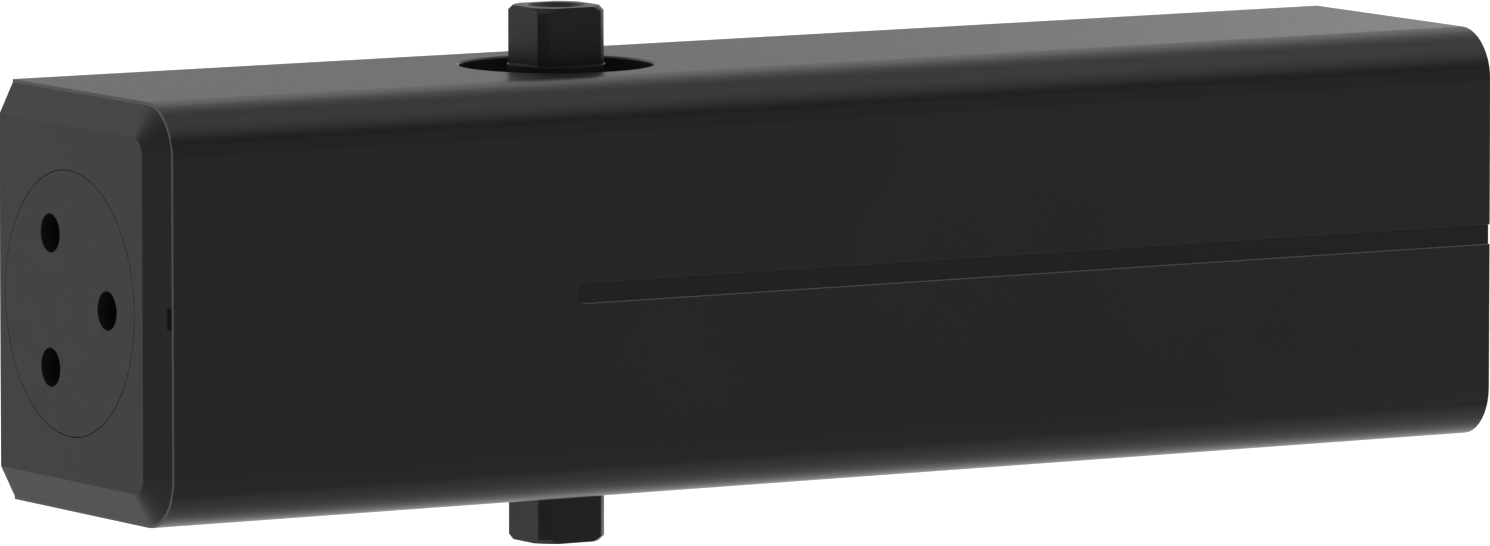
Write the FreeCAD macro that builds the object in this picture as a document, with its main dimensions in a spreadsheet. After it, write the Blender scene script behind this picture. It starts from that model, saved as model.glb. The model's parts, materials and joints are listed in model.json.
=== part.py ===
import FreeCAD, Part
import math
import os
import Sketcher
from FreeCAD import Placement, Rotation, Vector

# Overhead door closer, rack and pinion type, body only.
# Origin: on the door plane, at the middle of the housing's length and height.
# +X runs along the housing to the spring end, -Y faces the room and +Z is up.

DRIVING_SIZES = [
    # Housing
    ("height", 60.0, "housing, top to bottom"),
    ("depth", 46.5, "housing, door plane to front face"),
    ("body_length", 220.7, "housing between its two end caps"),
    ("corner_radius", 7.4, "rounding of the two front edges"),
    ("edge_break", 0.06, "small chamfer round the housing's ends"),
    ("axis_depth", 20.4, "door plane to the cylinder's and the spindle's axis"),
    ("bore_diameter", 34.0, "cylinder bore"),
    ("thread_step", 1.0, "radius of the end threads above the bore's"),
    ("thread_length", 10.0, "length of the end threads"),
    ("opening_diameter", 28.0, "round openings for the spindle"),
    ("opening_chamfer", 0.25, "chamfer round those openings"),
    ("recess_depth", 3.2, "top face down to the bearing cap"),
    ("groove_start", 44.9, "front groove's round end, left of the middle"),
    ("groove_width", 2.8, "front groove"),
    ("groove_depth", 0.4, "front groove"),
    ("groove_round", 0.2, "rounding of the front groove's edges"),
    ("fixing_spacing_along", 180.0, "tapped fixing holes, along the housing"),
    ("fixing_spacing_up", 44.0, "tapped fixing holes, up the housing"),
    ("fixing_hole_diameter", 5.0, "core of an M6 thread"),
    ("fixing_hole_depth", 12.0, "tapped fixing holes"),
    ("gallery_diameter", 3.0, "oil gallery"),
    ("gallery_wall", 1.7, "metal between the gallery and the end thread"),
    ("gallery_port_diameter", 2.5, "drillings from the bore to the gallery"),
    ("gallery_ball_diameter", 4.0, "ball that closes the gallery"),
    ("gallery_ball_inset", 0.5, "ball below the housing's end"),
    # End caps
    ("cap_inset", 0.55, "ledge of the housing's end left bare round an end cap"),
    ("cap_rim", 0.05, "straight rim of an end cap"),
    ("cap_bevel_out", 2.15, "bevel of an end cap, along the housing"),
    ("cap_bevel_in", 4.9, "edge of an end cap's flat face, inward from the housing's sides"),
    ("cap_hole_gap", 0.12, "gap round the face of an end plug"),
    ("peg_hole_spare", 1.0, "peg holes deeper than the pegs"),
    ("peg_diameter", 4.0, "pegs that hold an end cap"),
    ("peg_length", 6.0, "pegs that hold an end cap"),
    ("peg_inset", 7.0, "pegs, inward from the sides of the housing"),
    ("slot_height", 3.1, "prising slot in the left cap's front edge"),
    ("slot_width", 0.6, "prising slot, inward from that edge"),
    ("slot_recess", 1.2, "recess in the housing behind the prising slot"),
    # Spindle and pinion
    ("shaft_diameter", 14.0, "spindle"),
    ("square_across", 11.0, "square ends of the spindle, across flats"),
    ("square_corner_diameter", 13.8, "square ends, across their turned corners"),
    ("square_shoulder", 0.1, "square's shoulder above the housing's face"),
    ("spindle_reach", 8.5, "spindle ends above and below the housing"),
    ("spindle_chamfer", 0.7, "chamfer of the spindle's ends"),
    ("spindle_hole_diameter", 5.0, "core of the M6 thread in the spindle's ends"),
    ("spindle_hole_depth", 14.0, "that thread"),
    ("spindle_sink_diameter", 8.3, "countersink of the spindle's ends"),
    ("gear_module", 1.75, "rack and pinion"),
    ("gear_teeth", 10.0, "teeth of the pinion"),
    ("gear_addendum", 0.8, "tooth height above the pitch line, in modules"),
    ("gear_dedendum", 1.05, "tooth depth below the pitch line, in modules"),
    ("gear_backlash", 0.16, "play between rack and pinion, along the pitch line"),
    ("opening_angle", 180.0, "degrees that the door opens"),
    # Bearings and seals of the spindle
    ("cap_lift", 0.3, "bearing cap clear of the cylinder bore"),
    ("bearing_wall", 3.0, "needle bearing, radially"),
    ("bearing_length", 6.0, "needle bearing cup"),
    ("bearing_lip", 0.6, "thickness of the cup's lips"),
    ("needle_diameter", 1.9, "needle rollers"),
    ("needle_ring", 0.6, "end rings of the needle cage"),
    ("shaft_seal_width", 4.0, "shaft seal, radially"),
    ("shaft_seal_height", 3.0, "shaft seal"),
    ("washer_thickness", 1.2, "thrust washer"),
    ("cap_ring_section", 1.5, "O-ring round a bearing cap"),
    ("spanner_hole_diameter", 1.8, "pin spanner holes in a bearing cap"),
    ("spanner_hole_depth", 1.5, "pin spanner holes in a bearing cap"),
    ("cap_edge", 0.4, "chamfer of a bearing cap's outer edge"),
    ("web_gap", 0.5, "bearing cap's web clear of the spindle"),
    ("lip_gap", 0.36, "bearing cup's lips clear of the spindle"),
    ("washer_gap", 0.09, "thrust washer clear of the spindle"),
    ("needle_side_gap", 0.09, "cage's windows clear of the needle rollers"),
    ("seal_relief", 1.2, "shaft seal clear of the spindle behind its lip"),
    ("seal_lip_top", 0.9, "shaft seal's top face to its lip"),
    ("seal_lip_width", 0.6, "shaft seal's lip"),
    ("seal_lip_slope", 0.4, "shaft seal's slope behind the lip"),
    # Piston
    ("piston_rest_gap", 3.56, "piston clear of the valve head when the door is shut"),
    ("piston_head_left", 14.0, "piston head on the oil side"),
    ("piston_head_right", 12.0, "piston head on the spring side"),
    ("slot_end_gap", 1.35, "piston slot beyond the pinion, at each end"),
    ("slot_side_gap", 0.5, "piston slot beyond the pinion, on the plain side"),
    ("piston_ring_width", 2.0, "piston rings"),
    ("piston_ring_thickness", 1.6, "piston rings, radially"),
    ("piston_ring_inset", 4.0, "piston rings, from the piston's ends"),
    ("piston_edge", 1.0, "chamfer of the piston's ends"),
    ("spring_boss_gap", 0.5, "bosses that centre the inner spring, clear of it"),
    ("spring_boss_length", 3.5, "bosses that centre the inner spring"),
    ("valve_pocket_diameter", 6.5, "pockets of the piston's two valves"),
    ("valve_pocket_depth", 11.0, "pockets of the piston's two valves"),
    ("valve_pocket_offset", 7.0, "pockets of the piston's two valves, off the axis"),
    ("valve_port_diameter", 3.0, "passages of the piston's two valves"),
    ("ball_diameter", 5.0, "balls of the piston's two valves"),
    ("valve_plug_length", 2.6, "hollow screws of the piston's two valves"),
    ("valve_plug_inset", 0.2, "those screws below the piston's end"),
    ("driver_slot_width", 0.8, "those screws' slots"),
    ("driver_slot_depth", 0.8, "those screws' slots"),
    ("valve_wire", 0.5, "springs of the piston's two valves"),
    ("valve_coil_diameter", 3.6, "those springs, mean diameter"),
    ("valve_coil_turns", 4.0, "turns of those springs"),
    # Left end plug with the three regulating screws
    ("face_step", 0.8, "radius of an end plug's face above its thread's"),
    ("valve_head_length", 23.0, "valve head, from its face"),
    ("plug_ring_section", 1.8, "O-rings round the end plugs"),
    ("oil_groove_place", 17.4, "valve head's oil groove, from its face"),
    ("oil_groove_width", 2.0, "valve head's oil groove"),
    ("oil_groove_depth", 1.5, "valve head's oil groove"),
    ("head_ring_place", 3.0, "valve head's O-rings, either side of the oil groove"),
    ("valve_circle_share", 0.647, "pitch circle of the regulating screws, in bore diameters"),
    ("valve_access_diameter", 5.6, "round holes in the valve head's face"),
    ("valve_access_depth", 6.8, "face down to the regulating screws' thread"),
    ("valve_screw_diameter", 5.0, "regulating screws"),
    ("valve_screw_length", 12.0, "regulating screws"),
    ("valve_screw_edge", 0.3, "chamfer of the regulating screws"),
    ("valve_screw_socket", 2.5, "hexagon of the regulating screws, across flats"),
    ("valve_ring_section", 0.9, "O-rings of the regulating screws"),
    ("oil_port_diameter", 2.0, "drillings in the valve head"),
    # Right end plug with the spring adjuster
    ("spring_plug_length", 26.25, "spring end plug, from its face"),
    ("spring_plug_ring_place", 19.0, "its O-ring, from its face"),
    ("guide_across", 17.0, "hexagon of the spring seat, across flats"),
    ("guide_gap", 0.1, "clearance of that hexagon, each side"),
    ("guide_depth", 18.0, "hexagonal guide in the plug"),
    ("spanner_pit_diameter", 5.0, "pin spanner holes in the plug's face"),
    ("spanner_pit_depth", 5.0, "pin spanner holes in the plug's face"),
    ("shank_diameter", 9.0, "adjusting screw's shank"),
    ("shank_recess", 2.0, "adjusting screw's end below the plug's face"),
    ("shank_edge", 0.4, "chamfer of the shank's end"),
    ("shank_ring_section", 1.2, "adjusting screw's O-ring"),
    ("collar_diameter", 15.0, "adjusting screw's collar"),
    ("collar_thickness", 3.0, "adjusting screw's collar"),
    ("adjuster_diameter", 9.8, "adjusting screw's thread"),
    ("adjuster_thread", 26.0, "length of the adjusting screw's thread"),
    ("adjuster_edge", 1.0, "chamfer of that thread's end"),
    ("adjuster_socket", 5.0, "adjusting screw's hexagon, across flats"),
    ("socket_depth", 4.5, "adjusting screw's hexagon"),
    ("seat_thickness", 5.0, "disc of the spring seat"),
    ("seat_gap", 0.3, "spring seat clear of the plug at rest"),
    ("seat_rim_gap", 0.4, "spring seat clear of the bore, radially"),
    # Closing springs
    ("outer_wire_share", 0.147, "wire of the outer spring, in bore diameters"),
    ("outer_turns", 8.0, "turns of the outer spring"),
    ("inner_wire_share", 0.1, "wire of the inner spring, in bore diameters"),
    ("inner_turns", 11.0, "turns of the inner spring"),
    ("spring_side_gap", 0.55, "spring clear of the bore and of the other spring"),
    ("dead_coil_gap", 0.35, "gap between the closed end coils of a spring"),
    # Fits
    ("running_gap", 0.03, "radial clearance of what turns or slides"),
    ("static_gap", 0.02, "radial clearance of what is fitted and stays"),
    ("thread_gap", 0.05, "radial clearance of threads, drawn as plain cylinders"),
    ("piston_gap", 0.05, "radial clearance of the piston"),
    ("axial_play", 0.05, "end clearance of what turns"),
    ("cut_over", 1.0, "how far a cut runs past what it cuts through"),
]

# Counts, the teeth's flank angle and shares of a neighbouring size
NEEDLE_COUNT = 12
VALVE_COUNT = 3
CAP_SPANNER_HOLES = 4
RACK_SPARE_GAPS = 3
PRESSURE_ANGLE = math.radians(25)
DEAD_TURNS = 1
STEM_SHARE = 0.65
TIP_SHARE = 0.3
TIP_START_SHARE = 0.6
RING_PLACE_SHARE = 0.62
CAGE_SHARE = 0.45
PORT_SHARE = 0.4
CONE_SHARE = 0.6

X_AXIS = Vector(1, 0, 0)
Y_AXIS = Vector(0, 1, 0)
Z_AXIS = Vector(0, 0, 1)
HEX_CORNER = 1 / math.sqrt(3)


class Size:
    """A size that knows its number and the sheet formula that gives it."""

    def __init__(self, number, formula):
        self.number = number
        self.formula = formula

    def joined(self, sign, other, number):
        return Size(number, f"({self.formula} {sign} {other.formula})")

    def __add__(self, other):
        other = as_size(other)
        return self.joined("+", other, self.number + other.number)

    def __sub__(self, other):
        other = as_size(other)
        return self.joined("-", other, self.number - other.number)

    def __mul__(self, other):
        other = as_size(other)
        return self.joined("*", other, self.number * other.number)

    def __truediv__(self, other):
        other = as_size(other)
        return self.joined("/", other, self.number / other.number)

    def __radd__(self, other):
        return as_size(other) + self

    def __rsub__(self, other):
        return as_size(other) - self

    def __rmul__(self, other):
        return as_size(other) * self

    def __neg__(self):
        return as_size(0) - self


def as_size(value):
    if isinstance(value, Size):
        return value
    return Size(value, f"({value!r})")


def root_of(size):
    return Size(math.sqrt(size.number), f"sqrt({size.formula})")


def make_sheet(doc):
    """Write the driving sizes into the sheet and return them by name."""
    sheet = doc.addObject("Spreadsheet::Sheet", "Sizes")
    named = {}
    for row, (name, value, note) in enumerate(DRIVING_SIZES, 1):
        sheet.set(f"A{row}", note)
        sheet.set(f"B{row}", str(value))
        sheet.setAlias(f"B{row}", name)
        named[name] = Size(value, f"Sizes.{name}")
    doc.recompute()
    return named


doc = FreeCAD.newDocument("door_closer")
size = make_sheet(doc)

# Places and radii that several pieces share
half_height = size["height"] / 2
half_length = size["body_length"] / 2
cap_thickness = size["cap_rim"] + size["cap_bevel_out"]
end_face = half_length + cap_thickness
bore_radius = size["bore_diameter"] / 2
thread_radius = bore_radius + size["thread_step"]
face_radius = thread_radius + size["face_step"]
opening_radius = size["opening_diameter"] / 2
shaft_radius = size["shaft_diameter"] / 2
gallery_place = thread_radius + size["gallery_wall"] + size["gallery_diameter"] / 2

# Pinion, rack and the piston's travel
pitch_radius = size["gear_module"] * size["gear_teeth"] / 2
tip_radius = pitch_radius + size["gear_module"] * size["gear_addendum"]
root_radius = pitch_radius - size["gear_module"] * size["gear_dedendum"]
tooth_pitch = size["gear_module"] * math.pi
travel = pitch_radius * size["opening_angle"] * (math.pi / 180)

# Heights in the spindle's bearings
cap_bottom = bore_radius + size["cap_lift"]
cap_top = half_height - size["recess_depth"]
washer_bottom = cap_bottom - size["washer_thickness"]
pinion_half = washer_bottom - size["axial_play"]
spindle_end = half_height + size["spindle_reach"]
seal_radius = shaft_radius + size["shaft_seal_width"]

# Piston, from the spindle's axis, and the spindle from the housing's middle
slot_left = travel + tip_radius + size["slot_end_gap"]
slot_right = tip_radius + size["slot_end_gap"]
piston_left = slot_left + size["piston_head_left"]
piston_right = slot_right + size["piston_head_right"]
piston_radius = bore_radius - size["piston_gap"]
ball_radius = size["ball_diameter"] / 2
spindle_offset = end_face - size["valve_head_length"] - size["piston_rest_gap"] - piston_left

# Places in the two end plugs, from their faces
valve_radius = size["bore_diameter"] * size["valve_circle_share"] / 2
valve_seat = size["oil_groove_place"] + size["oil_groove_width"] / 2
guide_bottom = size["spring_plug_length"] - size["guide_depth"]
collar_start = guide_bottom + size["axial_play"]
collar_end = collar_start + size["collar_thickness"]
seat_back = size["spring_plug_length"] + size["seat_gap"]
seat_front = seat_back + size["seat_thickness"]

# Closing springs
outer_wire = size["bore_diameter"] * size["outer_wire_share"]
inner_wire = size["bore_diameter"] * size["inner_wire_share"]
outer_spring_radius = bore_radius - size["spring_side_gap"] - outer_wire / 2
inner_spring_radius = outer_spring_radius - outer_wire / 2 - size["spring_side_gap"] - inner_wire / 2
spring_boss = inner_spring_radius - inner_wire / 2 - size["spring_boss_gap"]
spring_start = piston_right + size["axial_play"] - spindle_offset
spring_length = end_face - seat_front - size["axial_play"] - spring_start

sub_parts = []


def bind(thing, prop, value):
    """Tie a property to the sheet."""
    thing.setExpression(prop, as_size(value).formula)


def new_body(label):
    body = doc.addObject("PartDesign::Body", label)
    body.Label = label
    sub_parts.append(body)
    return body


def place(thing, x=0, y=0, z=0, axis=Z_AXIS, degrees=0):
    """Turn a sub-part about an axis through its own origin, then move it there."""
    thing.Placement = Placement(Vector(), Rotation(axis, degrees))
    for letter, value in zip("xyz", (x, y, z)):
        bind(thing, f"Placement.Base.{letter}", value)


def place_in_cylinder(thing, x):
    """Put a piece that was drawn along +X on the cylinder's axis."""
    place(thing, x, -size["axis_depth"])


def place_from_right(thing):
    """Put a piece that was drawn inward from the right end face."""
    place(thing, end_face, -size["axis_depth"], axis=Y_AXIS, degrees=180)


def place_on_spindle(thing, side):
    """Put an upper piece round the spindle, or the same piece turned over below."""
    degrees = 0 if side > 0 else 180
    place(thing, -spindle_offset, -size["axis_depth"], axis=X_AXIS, degrees=degrees)


def new_sketch(body, name, role, out=0, across=0, up=0):
    """Make a sketch on one of the body's planes, moved along its normal and in it."""
    plane = next(p for p in body.Origin.OriginFeatures if p.Role == role)
    sketch = body.newObject("Sketcher::SketchObject", f"{body.Label}_{name}_sketch")
    sketch.AttachmentSupport = [(plane, "")]
    sketch.MapMode = "FlatFace"
    for letter, value in zip("xyz", (across, up, out)):
        bind(sketch, f"AttachmentOffset.Base.{letter}", value)
    return sketch


def point(x, y):
    return Vector(as_size(x).number, as_size(y).number, 0)


def pin(sketch, kind, geometry, end, value):
    """Hold one coordinate of a point of the sketch at a size."""
    value = as_size(value)
    index = sketch.addConstraint(Sketcher.Constraint(kind, -1, 1, geometry, end, value.number))
    sketch.setExpression(f"Constraints[{index}]", value.formula)


def pin_point(sketch, geometry, end, x, y):
    pin(sketch, "DistanceX", geometry, end, x)
    pin(sketch, "DistanceY", geometry, end, y)


def draw_circle(sketch, x, y, radius):
    radius = as_size(radius)
    index = sketch.addGeometry(Part.Circle(point(x, y), Z_AXIS, radius.number), False)
    pin_point(sketch, index, 3, x, y)
    held = sketch.addConstraint(Sketcher.Constraint("Radius", index, radius.number))
    sketch.setExpression(f"Constraints[{held}]", radius.formula)


def draw_outline(sketch, steps):
    """Draw a closed outline, counter-clockwise where it has arcs.

    A step is (x, y), a straight run to that point, or (x, y, cx, cy), an arc to it
    about a centre.
    """
    first = len(sketch.Geometry)
    count = len(steps)
    for i, step in enumerate(steps):
        start = point(*steps[i - 1][:2])
        end = point(*step[:2])
        if len(step) == 2:
            sketch.addGeometry(Part.LineSegment(start, end), False)
            continue
        centre = point(*step[2:])
        from_angle = math.atan2(start.y - centre.y, start.x - centre.x)
        to_angle = math.atan2(end.y - centre.y, end.x - centre.x)
        ring = Part.Circle(centre, Z_AXIS, (start - centre).Length)
        sketch.addGeometry(Part.ArcOfCircle(ring, from_angle, to_angle), False)
    for i, step in enumerate(steps):
        following = first + (i + 1) % count
        sketch.addConstraint(Sketcher.Constraint("Coincident", first + i, 2, following, 1))
        pin_point(sketch, first + i, 2, *step[:2])
        if len(step) == 4:
            chord = point(*step[:2]) - point(*steps[i - 1][:2])
            if abs(chord.x) > abs(chord.y):
                pin(sketch, "DistanceY", first + i, 3, step[3])
            else:
                pin(sketch, "DistanceX", first + i, 3, step[2])


def draw_hexagon(sketch, across):
    """A hexagon about the sketch's origin, of a given size across its flats."""
    corners = []
    for i in range(6):
        angle = math.radians(60 * i)
        reach = as_size(across) * HEX_CORNER
        corners.append((reach * math.cos(angle), reach * math.sin(angle)))
    draw_outline(sketch, corners)


def feature(body, kind, name, sketch):
    made = body.newObject(f"PartDesign::{kind}", f"{body.Label}_{name}")
    made.Profile = sketch
    return made


def turn(body, name, profile, axis="H_Axis"):
    """Revolve a half section, given as (along, radius) or (radius, along)."""
    sketch = new_sketch(body, name, "XZ_Plane")
    draw_outline(sketch, profile)
    made = feature(body, "Revolution", name, sketch)
    made.ReferenceAxis = (sketch, [axis])
    made.Angle = 360
    return made


def groove(body, name, sketch, axis):
    made = feature(body, "Groove", name, sketch)
    made.ReferenceAxis = (sketch, [axis])
    made.Angle = 360
    return made


def pad(body, name, sketch, length, symmetric=False, backward=False):
    made = feature(body, "Pad", name, sketch)
    bind(made, "Length", length)
    made.Reversed = backward
    if symmetric:
        made.SideType = "Symmetric"
    return made


def pocket(body, name, sketch, depth, forward=False, symmetric=False):
    """Cut against the sketch's normal, or along it where forward is set."""
    made = feature(body, "Pocket", name, sketch)
    bind(made, "Length", depth)
    made.Reversed = forward
    if symmetric:
        made.SideType = "Symmetric"
    return made


def plane_axis(body, role):
    return next(axis for axis in body.Origin.OriginFeatures if axis.Role == role)


def polar(body, name, originals, axis_role, count):
    pattern = body.newObject("PartDesign::PolarPattern", f"{body.Label}_{name}")
    pattern.Originals = originals
    pattern.Axis = (plane_axis(body, axis_role), [""])
    pattern.Angle = 360
    pattern.Occurrences = count
    body.Tip = pattern
    return pattern


def soften(body, kind, name, wanted, amount):
    """Add a Fillet or a Chamfer on those edges of the body so far that are wanted."""
    doc.recompute()
    base = body.Tip
    edges = [f"Edge{i}" for i, edge in enumerate(base.Shape.Edges, 1) if wanted(edge)]
    if not edges:
        raise RuntimeError(f"{body.Label}_{name} finds no edge")
    made = body.newObject(f"PartDesign::{kind}", f"{body.Label}_{name}")
    made.Base = (base, edges)
    bind(made, "Radius" if kind == "Fillet" else "Size", amount)
    doc.recompute()


def spreads(edge):
    box = edge.BoundBox
    return (box.XMin, box.XMax), (box.YMin, box.YMax), (box.ZMin, box.ZMax)


def lies_at(span, value):
    return abs(span[0] - value) < 1e-4 and abs(span[1] - value) < 1e-4


def section_steps(inset):
    """The D section in (Y, Z), drawn in from its top, front and bottom by an inset."""
    front = -(size["depth"] - inset)
    top = half_height - inset
    centre_y = -(size["depth"] - size["corner_radius"])
    centre_z = half_height - size["corner_radius"]
    return [
        (0, -top),
        (0, top),
        (centre_y, top),
        (front, centre_z, centre_y, centre_z),
        (front, -centre_z),
        (centre_y, -top, centre_y, -centre_z),
    ]


def peg_places():
    """The four pegs of an end cap, in (Y, Z)."""
    up = half_height - size["peg_inset"]
    front = -(size["depth"] - size["peg_inset"])
    return [(y, z) for y in (-size["peg_inset"], front) for z in (up, -up)]


def slot_steps(inset):
    """The prising slot in (Y, Z), from an inset behind the housing's front inward."""
    outer = -(size["depth"] - inset)
    inner = -(size["depth"] - size["cap_inset"] - size["slot_width"])
    half = size["slot_height"] / 2
    return [(outer, -half), (inner, -half), (inner, half), (outer, half)]


def groove_steps(right):
    """The front groove in (X, Z), open past the right end."""
    half = size["groove_width"] / 2
    left = -size["groove_start"]
    middle = left + half
    return [(middle, half), (middle, -half, middle, 0), (right, -half), (right, half)]


def make_housing():
    body = new_body("housing")
    section = new_sketch(body, "section", "YZ_Plane")
    draw_outline(section, section_steps(0))
    pad(body, "bar", section, size["body_length"], symmetric=True)

    bore = new_sketch(body, "bore", "XZ_Plane", out=size["axis_depth"])
    thread_end = half_length - size["thread_length"]
    draw_outline(bore, [
        (-half_length, 0), (half_length, 0), (half_length, thread_radius), (thread_end, thread_radius),
        (thread_end, bore_radius), (-thread_end, bore_radius), (-thread_end, thread_radius),
        (-half_length, thread_radius),
    ])
    groove(body, "cylinder", bore, "H_Axis")

    opening = new_sketch(body, "opening", "XZ_Plane", out=size["axis_depth"], across=-spindle_offset)
    chamfer = size["opening_chamfer"]
    wide = opening_radius + chamfer
    draw_outline(opening, [
        (0, -half_height), (wide, -half_height), (opening_radius, -half_height + chamfer),
        (opening_radius, half_height - chamfer), (wide, half_height), (0, half_height),
    ])
    groove(body, "spindle_opening", opening, "V_Axis")

    front = new_sketch(body, "front_groove", "XZ_Plane", out=size["depth"])
    draw_outline(front, groove_steps(end_face))
    pocket(body, "front_groove", front, size["groove_depth"])

    fixing = new_sketch(body, "fixing", "XZ_Plane")
    for side in (-0.5, 0.5):
        for up in (-0.5, 0.5):
            x = size["fixing_spacing_along"] * side
            z = size["fixing_spacing_up"] * up
            draw_circle(fixing, x, z, size["fixing_hole_diameter"] / 2)
    pocket(body, "fixing_holes", fixing, size["fixing_hole_depth"], forward=True)

    for side, name in ((-1, "left"), (1, "right")):
        pegs = new_sketch(body, f"{name}_pegs", "YZ_Plane", out=half_length * side)
        for y, z in peg_places():
            draw_circle(pegs, y, z, size["peg_diameter"] / 2 + size["thread_gap"])
        depth = size["peg_length"] + size["peg_hole_spare"]
        pocket(body, f"{name}_peg_holes", pegs, depth, forward=side < 0)

    recess = new_sketch(body, "slot_recess", "YZ_Plane", out=-half_length)
    draw_outline(recess, slot_steps(size["cap_inset"]))
    pocket(body, "slot_recess", recess, size["slot_recess"], forward=True)

    gallery_y = -(size["axis_depth"] + gallery_place)
    spring_port = half_length - size["spring_plug_length"] - size["seat_thickness"]
    gallery = new_sketch(body, "gallery", "YZ_Plane", out=-half_length)
    draw_circle(gallery, gallery_y, 0, size["gallery_diameter"] / 2)
    pocket(body, "oil_gallery", gallery, half_length + spring_port, forward=True)
    mouth = new_sketch(body, "gallery_mouth", "YZ_Plane", out=-half_length)
    draw_circle(mouth, gallery_y, 0, size["gallery_ball_diameter"] / 2 + size["static_gap"])
    seat_depth = size["gallery_ball_diameter"] + size["gallery_ball_inset"] * 2
    pocket(body, "ball_seat", mouth, seat_depth, forward=True)

    ports = new_sketch(body, "ports", "XZ_Plane", out=size["axis_depth"])
    for x in (-(end_face - size["oil_groove_place"]), spring_port - size["gallery_port_diameter"]):
        draw_circle(ports, x, 0, size["gallery_port_diameter"] / 2)
    pocket(body, "gallery_ports", ports, gallery_place, forward=True)

    def groove_edge(edge):
        x, y, z = spreads(edge)
        return lies_at(y, -size["depth"].number) and lies_at(z, size["groove_width"].number / 2)

    def end_edge(edge):
        x, y, z = spreads(edge)
        at_end = lies_at(x, half_length.number) or lies_at(x, -half_length.number)
        straight = lies_at(z, half_height.number) or lies_at(z, -half_height.number)
        in_front = y[1] < -(size["depth"] - size["corner_radius"]).number + 1e-3
        return at_end and (straight or in_front)

    soften(body, "Fillet", "groove_round", groove_edge, size["groove_round"])
    soften(body, "Chamfer", "end_chamfers", end_edge, size["edge_break"])
    return body


def make_end_cap(label, side):
    """A cap is drawn outward from the housing's left end. The right one is turned round."""
    body = new_body(label)
    outline = new_sketch(body, "outline", "YZ_Plane")
    draw_outline(outline, section_steps(size["cap_inset"]))
    pad(body, "rim", outline, size["cap_rim"], backward=True)

    base = new_sketch(body, "bevel_base", "YZ_Plane", out=-size["cap_rim"])
    draw_outline(base, section_steps(size["cap_inset"]))
    face = new_sketch(body, "face", "YZ_Plane", out=-cap_thickness)
    draw_outline(face, section_steps(size["cap_bevel_in"]))
    bevel = feature(body, "AdditiveLoft", "bevel", base)
    bevel.Sections = [face]
    bevel.Ruled = True

    hole = new_sketch(body, "hole", "YZ_Plane")
    draw_circle(hole, -size["axis_depth"], 0, face_radius + size["cap_hole_gap"])
    pocket(body, "round_hole", hole, cap_thickness * 2, symmetric=True)

    if side < 0:
        slot = new_sketch(body, "slot", "YZ_Plane")
        draw_outline(slot, slot_steps(0))
        pocket(body, "prising_slot", slot, cap_thickness * 2, symmetric=True)

    pegs = new_sketch(body, "pegs", "YZ_Plane")
    for y, z in peg_places():
        draw_circle(pegs, y, z, size["peg_diameter"] / 2)
    pad(body, "pegs", pegs, size["peg_length"])
    place(body, half_length * side, axis=Y_AXIS, degrees=0 if side < 0 else 180)


def ring_pocket(place_along, section, outer):
    """Corners of an O-ring's groove in a turned profile, on the way along it."""
    half = section / 2 + size["axial_play"]
    floor = outer - section - size["running_gap"] * 2
    return [(place_along - half, outer), (place_along - half, floor),
            (place_along + half, floor), (place_along + half, outer)]


def make_torus(label, ring_radius, section):
    ring = doc.addObject("Part::Torus", label)
    ring.Label = label
    bind(ring, "Radius1", ring_radius)
    bind(ring, "Radius2", section / 2)
    return ring


def place_ring(ring, x):
    """Turn an O-ring so that it goes round the cylinder's axis."""
    place(ring, x, -size["axis_depth"], axis=Y_AXIS, degrees=90)


def make_group(label, pieces):
    group = doc.addObject("Part::Compound", label)
    group.Label = label
    group.Links = pieces
    sub_parts.append(group)
    return group


def ring_radius_in(outer, section):
    """Mean radius of an O-ring that seals at an outer radius."""
    return outer - size["running_gap"] - section / 2


def make_valve_head():
    body = new_body("valve_head")
    section = size["plug_ring_section"]
    threaded = thread_radius - size["thread_gap"]
    plain = bore_radius - size["thread_gap"]
    thread_end = cap_thickness + size["thread_length"] - size["axial_play"]
    groove_half = size["oil_groove_width"] / 2
    oil = size["oil_groove_place"]
    profile = [(0, 0), (0, face_radius), (cap_thickness, face_radius), (cap_thickness, threaded),
               (thread_end, threaded), (thread_end, plain)]
    profile += ring_pocket(oil - size["head_ring_place"], section, plain)
    profile += [(oil - groove_half, plain), (oil - groove_half, plain - size["oil_groove_depth"]),
                (oil + groove_half, plain - size["oil_groove_depth"]), (oil + groove_half, plain)]
    profile += ring_pocket(oil + size["head_ring_place"], section, plain)
    profile += [(size["valve_head_length"], plain), (size["valve_head_length"], 0)]
    turn(body, "plug", profile)

    drillings = []
    for name, radius, depth in (
        ("access", size["valve_access_diameter"] / 2, size["valve_access_depth"]),
        ("thread", size["valve_screw_diameter"] / 2, valve_seat),
        ("port", size["oil_port_diameter"] / 2, size["valve_head_length"] + size["cut_over"]),
    ):
        sketch = new_sketch(body, name, "YZ_Plane")
        draw_circle(sketch, -valve_radius, 0, radius)
        drillings.append(pocket(body, f"valve_{name}", sketch, depth, forward=True))
    cross = new_sketch(body, "cross", "XZ_Plane", out=valve_radius)
    draw_circle(cross, oil, 0, size["oil_port_diameter"] / 2)
    drillings.append(pocket(body, "valve_cross", cross, bore_radius - valve_radius, forward=True))
    doc.recompute()
    polar(body, "valve_pattern", drillings, "X_Axis", VALVE_COUNT)
    place_in_cylinder(body, -end_face)

    rings = []
    for i, offset in enumerate((-1, 1)):
        ring = make_torus(f"valve_head_ring_{i}", ring_radius_in(plain, section), section)
        place_ring(ring, oil + size["head_ring_place"] * offset - end_face)
        rings.append(ring)
    make_group("valve_head_o_rings", rings)


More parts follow.
